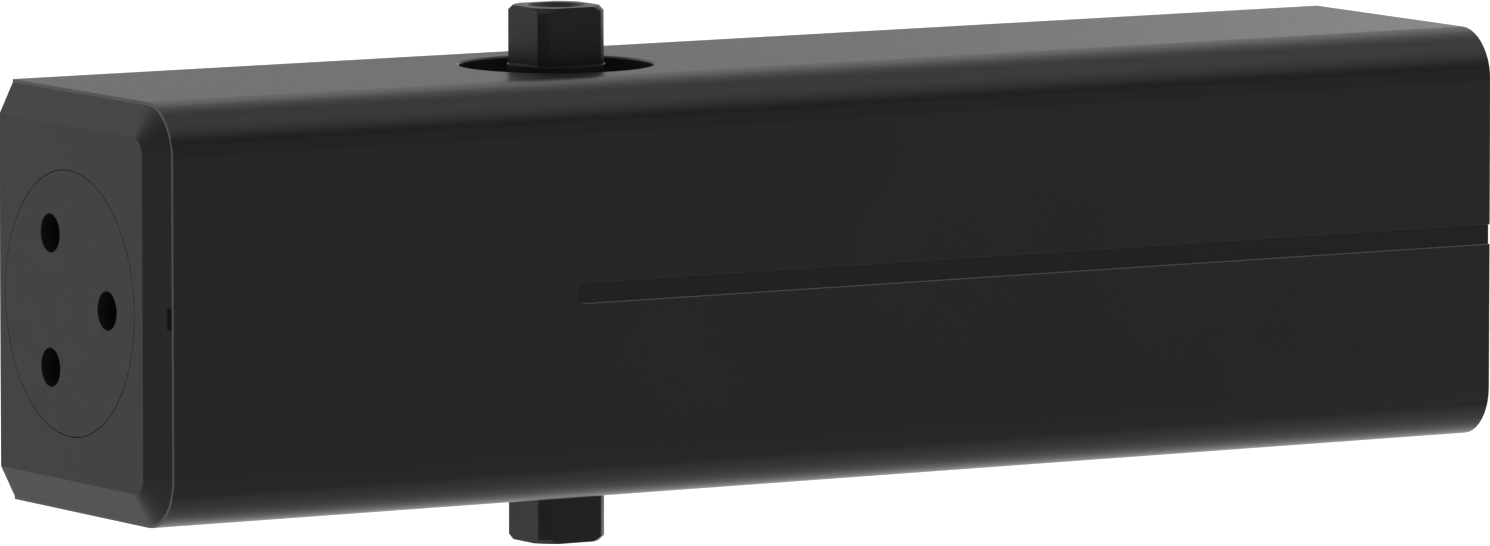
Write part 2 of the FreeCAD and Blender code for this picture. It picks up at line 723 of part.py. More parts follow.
def make_valve_screws():
    """Three equal regulating screws: one towards the front, two towards the door."""
    outer = size["valve_screw_diameter"] / 2 - size["thread_gap"]
    section = size["valve_ring_section"]
    start = size["valve_access_depth"]
    tip_start = valve_seat - size["oil_groove_width"] * TIP_START_SHARE
    tip_end = start + size["valve_screw_length"]
    ring_place = start + size["valve_screw_length"] * RING_PLACE_SHARE
    shoulder = ring_place + section
    stem = outer * STEM_SHARE
    edge = size["valve_screw_edge"]
    for i, name in enumerate(("closing_speed", "latching_speed", "backcheck")):
        body = new_body(f"{name}_screw")
        profile = [(start, 0), (start, outer - edge), (start + edge, outer)]
        profile += ring_pocket(ring_place, section, outer)
        profile += [(shoulder, outer), (shoulder, stem), (tip_start, stem),
                    (tip_end, stem * TIP_SHARE), (tip_end, 0)]
        turn(body, "screw", profile)
        hexagon = new_sketch(body, "hexagon", "YZ_Plane", out=start)
        draw_hexagon(hexagon, size["valve_screw_socket"])
        pocket(body, "socket", hexagon, size["valve_screw_socket"], forward=True)
        angle = 2 * math.pi * i / VALVE_COUNT
        y = -size["axis_depth"] - valve_radius * math.cos(angle)
        z = valve_radius * math.sin(angle)
        place(body, -end_face, y, z)

        ring = make_torus(f"{name}_o_ring", ring_radius_in(outer, section), section)
        place(ring, ring_place - end_face, y, z, axis=Y_AXIS, degrees=90)
        sub_parts.append(ring)


def make_spring_end_plug():
    body = new_body("spring_end_plug")
    section = size["plug_ring_section"]
    threaded = thread_radius - size["thread_gap"]
    plain = bore_radius - size["thread_gap"]
    thread_end = cap_thickness + size["thread_length"] - size["axial_play"]
    hole = size["shank_diameter"] / 2 + size["running_gap"]
    long = size["spring_plug_length"]
    profile = [(0, hole), (0, face_radius), (cap_thickness, face_radius), (cap_thickness, threaded),
               (thread_end, threaded), (thread_end, plain)]
    profile += ring_pocket(size["spring_plug_ring_place"], section, plain)
    profile += [(long, plain), (long, hole)]
    turn(body, "plug", profile)
    guide = new_sketch(body, "guide", "YZ_Plane", out=long)
    draw_hexagon(guide, size["guide_across"] + size["guide_gap"] * 2)
    pocket(body, "hexagonal_guide", guide, size["guide_depth"])
    pit = new_sketch(body, "pit", "YZ_Plane")
    draw_circle(pit, -valve_radius, 0, size["spanner_pit_diameter"] / 2)
    hollow = pocket(body, "spanner_pit", pit, size["spanner_pit_depth"], forward=True)
    doc.recompute()
    polar(body, "spanner_pits", [hollow], "X_Axis", VALVE_COUNT)
    place_from_right(body)

    ring = make_torus("spring_end_o_ring", ring_radius_in(plain, section), section)
    place_ring(ring, end_face - size["spring_plug_ring_place"])
    sub_parts.append(ring)


def make_adjusting_screw():
    body = new_body("adjusting_screw")
    shank = size["shank_diameter"] / 2
    section = size["shank_ring_section"]
    start = size["shank_recess"]
    ring_place = (start + guide_bottom) / 2 + section
    thread = size["adjuster_diameter"] / 2 - size["thread_gap"]
    end = collar_end + size["adjuster_thread"]
    shank_edge = size["shank_edge"]
    end_edge = size["adjuster_edge"]
    profile = [(start, 0), (start, shank - shank_edge), (start + shank_edge, shank)]
    profile += ring_pocket(ring_place, section, shank)
    profile += [(collar_start, shank), (collar_start, size["collar_diameter"] / 2),
                (collar_end, size["collar_diameter"] / 2), (collar_end, thread),
                (end - end_edge, thread), (end, thread - end_edge), (end, 0)]
    turn(body, "screw", profile)
    hexagon = new_sketch(body, "hexagon", "YZ_Plane", out=start)
    draw_hexagon(hexagon, size["adjuster_socket"])
    pocket(body, "socket", hexagon, size["socket_depth"], forward=True)
    place_from_right(body)

    ring = make_torus("adjusting_screw_o_ring", ring_radius_in(shank, section), section)
    place_ring(ring, end_face - ring_place)
    sub_parts.append(ring)


def make_spring_seat():
    body = new_body("spring_seat")
    hole = size["adjuster_diameter"] / 2
    boss_end = seat_front + size["spring_boss_length"]
    rim = bore_radius - size["seat_rim_gap"]
    turn(body, "disc", [
        (seat_back, hole), (seat_back, rim), (seat_front, rim), (seat_front, spring_boss),
        (boss_end, spring_boss), (boss_end, hole),
    ])
    hexagon = new_sketch(body, "hexagon", "YZ_Plane", out=seat_back)
    draw_hexagon(hexagon, size["guide_across"])
    draw_circle(hexagon, 0, 0, hole)
    boss_start = collar_end + size["seat_gap"] * 2
    pad(body, "hexagonal_boss", hexagon, seat_back - boss_start, backward=True)
    place_from_right(body)


def make_spring(label, radius, wire, turns, length, dead_turns=DEAD_TURNS):
    """A compression spring along +X, ground flat, closed at its ends where it has dead turns."""
    body = new_body(label)
    dead = (wire + size["dead_coil_gap"]) * dead_turns
    spans = [(dead, turns - dead_turns * 2, length - dead * 2)]
    if dead_turns:
        spans = [(0, dead_turns, dead)] + spans + [(length - dead, dead_turns, dead)]
    for i, (begin, count, rise) in enumerate(spans):
        circle = new_sketch(body, f"wire_{i}", "XZ_Plane")
        draw_circle(circle, begin, radius, wire / 2)
        coil = feature(body, "AdditiveHelix", f"coil_{i}", circle)
        coil.ReferenceAxis = (circle, ["H_Axis"])
        coil.Mode = "height-turns-angle"
        bind(coil, "Height", rise)
        bind(coil, "Turns", count)
        doc.recompute()
    for i, (where, forward) in enumerate(((0, False), (length, True))):
        face = new_sketch(body, f"ground_{i}", "YZ_Plane", out=where)
        draw_circle(face, 0, 0, radius + wire)
        pocket(body, f"ground_end_{i}", face, wire, forward=forward)
    doc.recompute()
    return body


def make_closing_springs():
    outer = make_spring("outer_spring", outer_spring_radius, outer_wire, size["outer_turns"], spring_length)
    place_in_cylinder(outer, spring_start)
    inner = make_spring("inner_spring", inner_spring_radius, inner_wire, size["inner_turns"], spring_length)
    place_in_cylinder(inner, spring_start)


def make_piston():
    """Drawn about the spindle's axis, as it stands when the door is shut."""
    body = new_body("piston")
    width = size["piston_ring_width"] + size["axial_play"] * 2
    floor = piston_radius - size["piston_ring_thickness"] - size["running_gap"]
    left_ring = -piston_left + size["piston_ring_inset"]
    right_ring = piston_right - size["piston_ring_inset"] - width
    boss_end = piston_right + size["spring_boss_length"]
    edge = size["piston_edge"]
    profile = [(-piston_left, 0), (-piston_left, piston_radius - edge),
               (-piston_left + edge, piston_radius)]
    for start in (left_ring, right_ring):
        profile += [(start, piston_radius), (start, floor), (start + width, floor),
                    (start + width, piston_radius)]
    profile += [(piston_right - edge, piston_radius), (piston_right, piston_radius - edge),
                (piston_right, spring_boss), (boss_end, spring_boss), (boss_end, 0)]
    turn(body, "body", profile)

    rack_tip = -(pitch_radius - size["gear_module"] * size["gear_addendum"])
    rack_root = -(pitch_radius + size["gear_module"] * size["gear_dedendum"])
    plain_side = tip_radius + size["slot_side_gap"]
    slot = new_sketch(body, "slot", "XY_Plane")
    draw_outline(slot, [(-slot_left, rack_tip), (slot_right, rack_tip), (slot_right, plain_side),
                        (-slot_left, plain_side)])
    pocket(body, "slot", slot, bore_radius * 2, symmetric=True)

    slope = math.tan(PRESSURE_ANGLE)
    half_gap = tooth_pitch / 4 + size["gear_backlash"] / 4
    wide = half_gap + size["gear_module"] * size["gear_addendum"] * slope
    narrow = half_gap - size["gear_module"] * size["gear_dedendum"] * slope
    overlap = size["slot_side_gap"]
    gap = new_sketch(body, "rack", "XY_Plane", across=tooth_pitch)
    draw_outline(gap, [(-wide, rack_tip), (-narrow, rack_root), (narrow, rack_root), (wide, rack_tip),
                       (wide, rack_tip + overlap), (-wide, rack_tip + overlap)])
    tooth_gap = pocket(body, "rack_gap", gap, bore_radius * 2, symmetric=True)
    doc.recompute()
    rack = body.newObject("PartDesign::LinearPattern", "piston_rack")
    rack.Originals = [tooth_gap]
    rack.Direction = (plane_axis(body, "X_Axis"), [""])
    rack.Reversed = True
    rack.Mode = "Spacing"
    bind(rack, "Offset", tooth_pitch)
    rack.Occurrences = math.ceil((travel / tooth_pitch).number - 1e-6) + RACK_SPARE_GAPS
    body.Tip = rack

    for name, radius, depth in (
        ("pockets", size["valve_pocket_diameter"] / 2, size["valve_pocket_depth"]),
        ("ports", size["valve_port_diameter"] / 2, size["piston_head_left"] + size["cut_over"]),
    ):
        sketch = new_sketch(body, name, "YZ_Plane", out=-piston_left)
        for side in (-1, 1):
            draw_circle(sketch, 0, size["valve_pocket_offset"] * side, radius)
        pocket(body, f"valve_{name}", sketch, depth, forward=True)
    place_in_cylinder(body, -spindle_offset)

    rings = []
    for i, start in enumerate((left_ring, right_ring)):
        outer = piston_radius + size["piston_gap"] - size["running_gap"]
        inner = outer - size["piston_ring_thickness"]
        ring = tube(f"piston_ring_{i}", outer, inner, size["piston_ring_width"])
        along = start + size["axial_play"] - spindle_offset
        place(ring, along, -size["axis_depth"], axis=Y_AXIS, degrees=90)
        rings.append(ring)
    make_group("piston_rings", rings)


def tube(label, outer, inner, length):
    """A plain ring that stands on its own origin along +Z."""
    solid = doc.addObject("Part::Cylinder", f"{label}_outer")
    bind(solid, "Radius", outer)
    bind(solid, "Height", length)
    hollow = doc.addObject("Part::Cylinder", f"{label}_inner")
    bind(hollow, "Radius", inner)
    bind(hollow, "Height", length)
    ring = doc.addObject("Part::Cut", label)
    ring.Base = solid
    ring.Tool = hollow
    return ring


def make_piston_valve(name, up, seat_at_mouth):
    """A ball, its spring and its screw, in one pocket of the piston's left head."""
    left = -piston_left - spindle_offset
    pocket_radius = size["valve_pocket_diameter"] / 2
    screw_start = size["valve_plug_inset"]
    screw_end = screw_start + size["valve_plug_length"]
    screw_hole = size["valve_port_diameter"] * PORT_SHARE
    height = size["valve_pocket_offset"] * up

    screw = new_body(f"{name}_screw")
    outer = pocket_radius - size["thread_gap"]
    turn(screw, "screw", [
        (screw_start, screw_hole), (screw_start, outer), (screw_end, outer), (screw_end, screw_hole),
    ])
    cut = new_sketch(screw, "driver", "YZ_Plane", out=screw_start)
    half = size["driver_slot_width"] / 2
    draw_outline(cut, [(-pocket_radius, -half), (pocket_radius, -half), (pocket_radius, half),
                       (-pocket_radius, half)])
    pocket(screw, "driver_slot", cut, size["driver_slot_depth"], forward=True)
    place(screw, left, -size["axis_depth"], height)

    seat_radius = screw_hole if seat_at_mouth else size["valve_port_diameter"] / 2
    sink = root_of(ball_radius * ball_radius - seat_radius * seat_radius) + size["static_gap"]
    coil_radius = size["valve_coil_diameter"] / 2
    coil_inside = coil_radius - size["valve_wire"] / 2
    rest = root_of(ball_radius * ball_radius - coil_inside * coil_inside) + size["axial_play"] * 2
    if seat_at_mouth:
        centre = screw_end + sink
        spring_from = centre + rest
        spring_to = size["valve_pocket_depth"] - size["axial_play"]
    else:
        centre = size["valve_pocket_depth"] - sink
        spring_from = screw_end + size["axial_play"]
        spring_to = centre - rest
    ball = doc.addObject("Part::Sphere", f"{name}_ball")
    ball.Label = f"{name}_ball"
    bind(ball, "Radius", ball_radius)
    place(ball, left + centre, -size["axis_depth"], height)
    sub_parts.append(ball)

    coil = make_spring(f"{name}_spring", coil_radius, size["valve_wire"], size["valve_coil_turns"],
                       spring_to - spring_from, dead_turns=0)
    place(coil, left + spring_from, -size["axis_depth"], height)


def involute(angle):
    return math.tan(angle) - angle


def pinion_gap_steps():
    """Outline of one gap between two teeth of the pinion, from the tooth formulas."""
    pitch = pitch_radius.number
    base = pitch * math.cos(PRESSURE_ANGLE)
    tip = tip_radius.number
    root = root_radius.number
    half_pitch_angle = math.pi / size["gear_teeth"].number
    thinning = size["gear_backlash"].number / 4 / pitch

    def half_gap(radius):
        pressure = math.acos(min(1.0, base / max(radius, base)))
        tooth = half_pitch_angle / 2 - thinning + involute(PRESSURE_ANGLE) - involute(pressure)
        return half_pitch_angle - tooth

    middle = -math.pi / 2 + half_pitch_angle

    def at(radius, side):
        angle = middle + side * half_gap(radius)
        return Vector(radius * math.cos(angle), radius * math.sin(angle), 0)

    outside = tip + size["cut_over"].number
    mid = (base + tip) / 2
    low = [at(root, -1), at(base, -1), at(mid, -1), at(tip, -1)]
    high = [at(root, 1), at(base, 1), at(mid, 1), at(tip, 1)]
    outer_low = low[3] * (outside / tip)
    outer_high = high[3] * (outside / tip)
    return [
        Part.LineSegment(low[0], low[1]),
        Part.Arc(low[1], low[2], low[3]),
        Part.LineSegment(low[3], outer_low),
        Part.LineSegment(outer_low, outer_high),
        Part.LineSegment(outer_high, high[3]),
        Part.Arc(high[3], high[2], high[1]),
        Part.LineSegment(high[1], high[0]),
        Part.LineSegment(high[0], low[0]),
    ]


def make_spindle():
    """Drawn about its own axis, with a tooth towards the rack when the door is shut."""
    body = new_body("spindle")
    chamfer = size["spindle_chamfer"]
    hole = size["spindle_hole_diameter"] / 2
    sink = size["spindle_sink_diameter"] / 2
    sink_depth = sink - hole
    hole_bottom = spindle_end - size["spindle_hole_depth"]
    cone = hole * CONE_SHARE

    shoulder = half_height + size["square_shoulder"]
    corner = size["square_corner_diameter"] / 2
    upper = [
        (tip_radius, pinion_half), (shaft_radius, pinion_half), (shaft_radius, shoulder),
        (corner, shoulder), (corner, spindle_end - chamfer), (corner - chamfer, spindle_end),
        (sink, spindle_end), (hole, spindle_end - sink_depth), (hole, hole_bottom), (0, hole_bottom - cone),
    ]
    lower = [(radius, -height) for radius, height in reversed(upper)]
    turn(body, "shaft", lower + upper, "V_Axis")

    gap = new_sketch(body, "tooth_gap", "XY_Plane")
    for piece in pinion_gap_steps():
        index = gap.addGeometry(piece, False)
        gap.addConstraint(Sketcher.Constraint("Block", index))
    teeth = pocket(body, "tooth_gap", gap, pinion_half * 2, symmetric=True)
    doc.recompute()
    polar(body, "pinion", [teeth], "Z_Axis", int(size["gear_teeth"].number))

    flat = size["square_across"] / 2
    for side, name in ((1, "upper"), (-1, "lower")):
        square = new_sketch(body, f"{name}_square", "XY_Plane", out=shoulder * side)
        draw_outline(square, [(flat, -flat), (flat, flat), (-flat, flat), (-flat, -flat)])
        draw_circle(square, 0, 0, shaft_radius + size["cut_over"])
        reach = size["spindle_reach"] + size["cut_over"]
        pocket(body, f"{name}_square", square, reach, forward=side > 0)
    place(body, -spindle_offset, -size["axis_depth"])


def make_bearing_cap(label, side):
    body = new_body(label)
    outer = opening_radius - size["thread_gap"]
    bearing = shaft_radius + size["bearing_wall"]
    seal_bottom = cap_top - size["shaft_seal_height"]
    bearing_top = cap_bottom + size["bearing_length"]
    web = shaft_radius + size["web_gap"]
    edge = size["cap_edge"]
    section = size["cap_ring_section"]
    ring_place = cap_bottom + section
    sealed = [(radius, height) for height, radius in ring_pocket(ring_place, section, outer)]
    profile = [(bearing, cap_bottom), (outer, cap_bottom)] + sealed
    profile += [
        (outer, cap_top - edge), (outer - edge, cap_top), (seal_radius, cap_top),
        (seal_radius, seal_bottom), (web, seal_bottom), (web, bearing_top), (bearing, bearing_top),
    ]
    turn(body, "ring", profile, "V_Axis")
    spanner = new_sketch(body, "spanner", "XY_Plane", out=cap_top)
    draw_circle(spanner, (seal_radius + outer) / 2, 0, size["spanner_hole_diameter"] / 2)
    hole = pocket(body, "spanner_hole", spanner, size["spanner_hole_depth"])
    doc.recompute()
    polar(body, "spanner_holes", [hole], "Z_Axis", CAP_SPANNER_HOLES)
    place_on_spindle(body, side)

    ring = make_torus(f"{label}_o_ring", ring_radius_in(outer, section), section)
    place(ring, -spindle_offset, -size["axis_depth"], ring_place * side)
    sub_parts.append(ring)


def make_bearing(prefix, side):
    outer = shaft_radius + size["bearing_wall"] - size["static_gap"]
    needle = size["needle_diameter"] / 2
    centre = shaft_radius + size["running_gap"] + needle
    track = centre + needle + size["running_gap"]
    lip = size["bearing_lip"]
    lip_radius = shaft_radius + size["lip_gap"]
    top = cap_bottom + size["bearing_length"]
    cup = new_body(f"{prefix}_bearing_cup")
    turn(cup, "cup", [
        (lip_radius, cap_bottom), (outer, cap_bottom), (outer, top), (lip_radius, top),
        (lip_radius, top - lip), (track, top - lip), (track, cap_bottom + lip),
        (lip_radius, cap_bottom + lip),
    ], "V_Axis")
    place_on_spindle(cup, side)

    cage_bottom = cap_bottom + lip + size["axial_play"]
    cage_height = size["bearing_length"] - lip * 2 - size["axial_play"] * 2
    needle_bottom = cage_bottom + size["needle_ring"] + size["axial_play"]
    needle_length = cage_height - size["needle_ring"] * 2 - size["axial_play"] * 2
    cage = new_body(f"{prefix}_needle_cage")
    inner_face = shaft_radius + needle * CAGE_SHARE
    outer_face = track - needle * CAGE_SHARE
    turn(cage, "ring", [
        (inner_face, cage_bottom), (outer_face, cage_bottom), (outer_face, cage_bottom + cage_height),
        (inner_face, cage_bottom + cage_height),
    ], "V_Axis")
    window = new_sketch(cage, "window", "XZ_Plane")
    half = needle + size["needle_side_gap"]
    low = cage_bottom + size["needle_ring"]
    high = cage_bottom + cage_height - size["needle_ring"]
    draw_outline(window, [(-half, low), (half, low), (half, high), (-half, high)])
    cut = pocket(cage, "window", window, track, forward=True)
    doc.recompute()
    polar(cage, "windows", [cut], "Z_Axis", NEEDLE_COUNT)
    place_on_spindle(cage, side)

    needles = []
    for i in range(NEEDLE_COUNT):
        roller = doc.addObject("Part::Cylinder", f"{prefix}_needle_{i}")
        bind(roller, "Radius", needle)
        bind(roller, "Height", needle_length)
        angle = 2 * math.pi * i / NEEDLE_COUNT - math.pi / 2
        x = centre * math.cos(angle) - spindle_offset
        y = centre * math.sin(angle) - size["axis_depth"]
        place(roller, x, y, needle_bottom if side > 0 else -(needle_bottom + needle_length))
        needles.append(roller)
    make_group(f"{prefix}_needles", needles)


def make_shaft_seal(label, side):
    body = new_body(label)
    outer = seal_radius - size["static_gap"]
    lip = shaft_radius + size["running_gap"]
    bottom = cap_top - size["shaft_seal_height"]
    collar = lip + size["seal_relief"]
    lip_top = cap_top - size["seal_lip_top"]
    lip_bottom = lip_top - size["seal_lip_width"]
    turn(body, "ring", [
        (collar, bottom), (outer, bottom), (outer, cap_top), (collar, cap_top),
        (lip, lip_top), (lip, lip_bottom), (collar, lip_bottom - size["seal_lip_slope"]),
    ], "V_Axis")
    place_on_spindle(body, side)


def make_washer(label, side):
    body = new_body(label)
    inner = shaft_radius + size["washer_gap"]
    outer = slot_right - size["slot_side_gap"]
    turn(body, "ring", [
        (inner, washer_bottom), (outer, washer_bottom), (outer, cap_bottom), (inner, cap_bottom),
    ], "V_Axis")
    place_on_spindle(body, side)


def make_gallery_ball():
    ball = doc.addObject("Part::Sphere", "gallery_ball")
    ball.Label = "gallery_ball"
    bind(ball, "Radius", size["gallery_ball_diameter"] / 2)
    inset = size["gallery_ball_diameter"] / 2 + size["gallery_ball_inset"]
    place(ball, -half_length + inset, -(size["axis_depth"] + gallery_place), 0)
    sub_parts.append(ball)


def check_document():
    """Stop on a failed object, an empty or broken shape, or a cut that removes nothing."""
    for thing in doc.Objects:
        bad = [word for word in thing.State if word in ("Invalid", "Error")]
        if bad:
            raise RuntimeError(f"{thing.Label} is {bad}: {thing.getStatusString()}")
        if thing.TypeId in ("PartDesign::Pocket", "PartDesign::Groove"):
            removed = thing.BaseFeature.Shape.Volume - thing.Shape.Volume
            if removed < 1e-3:
                raise RuntimeError(f"{thing.Label} removes nothing")
    for part in sub_parts:
        if part.Shape.isNull() or not part.Shape.isValid():
            raise RuntimeError(f"{part.Label} has no valid shape")


def write_parts():
    os.makedirs("parts", exist_ok=True)
    for part in sub_parts:
        part.Shape.exportStep(f"parts/{part.Label}.step")
        solids = len(part.Shape.Solids)
        print(f"{part.Label}: {solids} solid(s), {part.Shape.Volume:.1f} mm3")
    print(f"{len(sub_parts)} nodes")


make_housing()
for cap_label, cap_side in (("left_end_cap", -1), ("right_end_cap", 1)):
    make_end_cap(cap_label, cap_side)
make_valve_head()
make_valve_screws()
make_spring_end_plug()
make_adjusting_screw()
make_spring_seat()
make_closing_springs()
make_piston()
make_piston_valve("check_valve", 1, seat_at_mouth=False)
make_piston_valve("relief_valve", -1, seat_at_mouth=True)
make_spindle()
for level, level_side in (("upper", 1), ("lower", -1)):
    make_bearing_cap(f"{level}_bearing_cap", level_side)
    make_bearing(level, level_side)
    make_shaft_seal(f"{level}_shaft_seal", level_side)
    make_washer(f"{level}_thrust_washer", level_side)
make_gallery_ball()
doc.recompute()
check_document()
write_parts()
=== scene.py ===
import bpy
import json
import math
from mathutils import Matrix, Vector


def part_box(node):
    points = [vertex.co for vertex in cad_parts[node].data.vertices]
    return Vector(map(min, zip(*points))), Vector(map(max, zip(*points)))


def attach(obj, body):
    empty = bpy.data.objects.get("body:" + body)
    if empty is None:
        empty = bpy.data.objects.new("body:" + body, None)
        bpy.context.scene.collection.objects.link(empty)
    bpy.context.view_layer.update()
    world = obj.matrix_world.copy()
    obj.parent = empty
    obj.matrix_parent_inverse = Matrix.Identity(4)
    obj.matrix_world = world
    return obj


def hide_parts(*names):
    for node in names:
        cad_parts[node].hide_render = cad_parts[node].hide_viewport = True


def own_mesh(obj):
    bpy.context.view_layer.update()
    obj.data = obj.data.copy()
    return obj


# Overhead door closer: materials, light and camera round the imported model.
# Metres throughout. +X runs to the spring end, -Y faces the room, +Z is up.

MM = 0.001

# Sockets of the Mix node that hold colours
MIX_FIRST = 6
MIX_SECOND = 7
MIX_RESULT = 2

# Cosines of the angle between a face and its rounded normal: a worn edge, and a flat face
WORN_EDGE = 0.75
FLAT_FACE = 0.98
BEVEL_SAMPLES = 6

# Cosines between which a face starts to count as facing a direction
FACES_LITTLE = 0.3
FACES_ENOUGH = 0.6

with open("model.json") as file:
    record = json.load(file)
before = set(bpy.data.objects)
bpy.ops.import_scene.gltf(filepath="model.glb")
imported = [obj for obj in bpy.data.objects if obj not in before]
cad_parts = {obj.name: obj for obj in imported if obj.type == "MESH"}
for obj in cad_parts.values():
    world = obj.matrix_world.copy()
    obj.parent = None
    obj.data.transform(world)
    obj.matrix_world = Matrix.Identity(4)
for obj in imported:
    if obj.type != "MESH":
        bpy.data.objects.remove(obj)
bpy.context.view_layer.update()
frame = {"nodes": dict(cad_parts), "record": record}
nodes = frame["nodes"]


def grey(value, blue=None):
    """A grey, which may have its own share of blue."""
    return (value, value, value if blue is None else blue)


def cosine(degrees):
    return math.cos(math.radians(degrees))


def middle(node):
    low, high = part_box(node)
    return (low + high) / 2


class Nodes:
    """A small helper to build a node tree."""

    def __init__(self, tree):
        self.tree = tree

    def node(self, kind, **settings):
        made = self.tree.nodes.new(kind)
        for key, value in settings.items():
            setattr(made, key, value)
        return made

    def link(self, source, target):
        self.tree.links.new(source, target)

    def math(self, kind, first, second=None):
        made = self.node("ShaderNodeMath", operation=kind)
        for slot, value in enumerate((first, second)):
            if value is None:
                continue
            if isinstance(value, (int, float)):
                made.inputs[slot].default_value = value
            else:
                self.link(value, made.inputs[slot])
        return made.outputs["Value"]

    def dot(self, first, second):
        made = self.node("ShaderNodeVectorMath", operation="DOT_PRODUCT")
        self.link(first, made.inputs[0])
        if isinstance(second, bpy.types.NodeSocket):
            self.link(second, made.inputs[1])
        else:
            made.inputs[1].default_value = second
        return made.outputs["Value"]

    def spread(self, value, low, high, from_low=0.3, from_high=0.7, smooth=False):
        """Map a value onto a range, clamped. Noise rarely leaves the middle of its own range."""
        made = self.node("ShaderNodeMapRange")
        made.interpolation_type = "SMOOTHSTEP" if smooth else "LINEAR"
        made.inputs["From Min"].default_value = from_low
        made.inputs["From Max"].default_value = from_high
        made.inputs["To Min"].default_value = low
        made.inputs["To Max"].default_value = high
        self.link(value, made.inputs["Value"])
        return made.outputs["Result"]


class Shader(Nodes):
    """One node material."""

    def __init__(self, name):
        self.material = bpy.data.materials.new(name)
        self.material.use_nodes = True
        super().__init__(self.material.node_tree)
        self.surface = self.tree.nodes["Principled BSDF"]

    def place(self):
        """Object coordinates, which are the part's own metres."""
        return self.node("ShaderNodeTexCoord").outputs["Object"]

    def noise(self, scale, detail=3.0, rough=0.5):
        """Noise with a scale of so many spots in a metre."""
        made = self.node("ShaderNodeTexNoise")
        made.inputs["Scale"].default_value = scale
        made.inputs["Detail"].default_value = detail
        made.inputs["Roughness"].default_value = rough
        self.link(self.place(), made.inputs["Vector"])
        return made.outputs["Fac"]

    def blend(self, share, first, second):
        """Mix two colours by a share."""
        made = self.node("ShaderNodeMix", data_type="RGBA")
        self.link(share, made.inputs[0])
        for slot, colour in ((MIX_FIRST, first), (MIX_SECOND, second)):
            if isinstance(colour, tuple):
                made.inputs[slot].default_value = (*colour, 1)
            else:
                self.link(colour, made.inputs[slot])
        return made.outputs[MIX_RESULT]

    def mottled(self, dark, light, scale, detail=4):
        """A tone that wanders between two colours."""
        return self.blend(self.spread(self.noise(scale, detail), 0, 1), dark, light)

    def rounded(self, radius):
        """The surface's normal, with its sharp edges rounded by a radius."""
        bevel = self.node("ShaderNodeBevel", samples=BEVEL_SAMPLES)
        bevel.inputs["Radius"].default_value = radius
        return bevel.outputs["Normal"]

    def edges(self, softened):
        """1 on sharp edges, 0 on flat faces."""
        plain = self.node("ShaderNodeNewGeometry").outputs["Normal"]
        return self.spread(self.dot(softened, plain), 1.0, 0.0, WORN_EDGE, FLAT_FACE)

    def rings(self, pitch, axis, centre):
        """Fine turning marks: waves in the distance from an axis."""
        shifted = self.node("ShaderNodeVectorMath", operation="SUBTRACT")
        self.link(self.place(), shifted.inputs[0])
        shifted.inputs[1].default_value = centre
        flat = self.node("ShaderNodeVectorMath", operation="MULTIPLY")
        self.link(shifted.outputs["Vector"], flat.inputs[0])
        flat.inputs[1].default_value = tuple(0 if letter == axis else 1 for letter in "XYZ")
        length = self.node("ShaderNodeVectorMath", operation="LENGTH")
        self.link(flat.outputs["Vector"], length.inputs[0])
        return self.math("SINE", self.math("MULTIPLY", length.outputs["Value"], 2 * math.pi / pitch))

    def bump(self, height, distance, strength, under):
        """Bumps on top of a normal, which become the surface's own."""
        made = self.node("ShaderNodeBump")
        made.inputs["Strength"].default_value = strength
        made.inputs["Distance"].default_value = distance
        self.link(height, made.inputs["Height"])
        self.link(under, made.inputs["Normal"])
        self.link(made.outputs["Normal"], self.surface.inputs["Normal"])
        return made.outputs["Normal"]

    def facing(self, direction):
        """1 where the surface faces a direction, in the part's own frame."""
        normal = self.node("ShaderNodeTexCoord").outputs["Normal"]
        return self.spread(self.dot(normal, direction), 0.0, 1.0, FACES_LITTLE, FACES_ENOUGH)

    def band(self, axis, plane, full, outer):
        """1 within a distance of a plane across an axis, 0 past the outer distance."""
        place = self.node("ShaderNodeSeparateXYZ")
        self.link(self.place(), place.inputs[0])
        off = self.math("ABSOLUTE", self.math("SUBTRACT", place.outputs[axis], plane))
        return self.spread(off, 1.0, 0.0, full, outer)

    def stretches(self, colour, rows):
        """Paint stretches of the surface another colour, as painted highlights or painted shade.

        A row is (axis, plane across it, half width, direction faced, colour).
        """
        for axis, plane, half, direction, own in rows:
            near = self.band(axis, plane, half, 1.2 * half)
            colour = self.blend(self.math("MULTIPLY", near, self.facing(direction)), colour, own)
        return colour

    def set(self, **values):
        """Set or link sockets of the surface, named with underscores for spaces."""
        for key, value in values.items():
            socket = self.surface.inputs[key.replace("_", " ")]
            if isinstance(value, bpy.types.NodeSocket):
                self.link(value, socket)
            elif isinstance(value, tuple):
                socket.default_value = (*value, 1)
            else:
                socket.default_value = value


def coated_black(name, dark, light, roughness, specular, stretches=()):
    """A satin black skin: slow tone changes, a fine grain and slightly rubbed edges."""
    shader = Shader(name)
    soft = shader.rounded(0.06 * MM)
    patches = shader.spread(shader.noise(scale=260), low=0.0, high=0.4, from_low=0.45, from_high=0.7)
    rubbed = shader.math("MULTIPLY", shader.edges(soft), patches)
    black = shader.blend(rubbed, shader.mottled(dark, light, scale=22), grey(0.035, 0.036))
    shader.set(
        Base_Color=shader.stretches(black, stretches),
        Roughness=shader.spread(shader.noise(scale=900), roughness - 0.02, roughness + 0.02),
        Specular_IOR_Level=specular,
    )
    slow = shader.bump(shader.noise(scale=500, detail=2), distance=0.004 * MM, strength=0.25, under=soft)
    shader.bump(shader.noise(scale=3200, detail=2, rough=0.6), distance=0.006 * MM, strength=0.3, under=slow)
    return shader.material


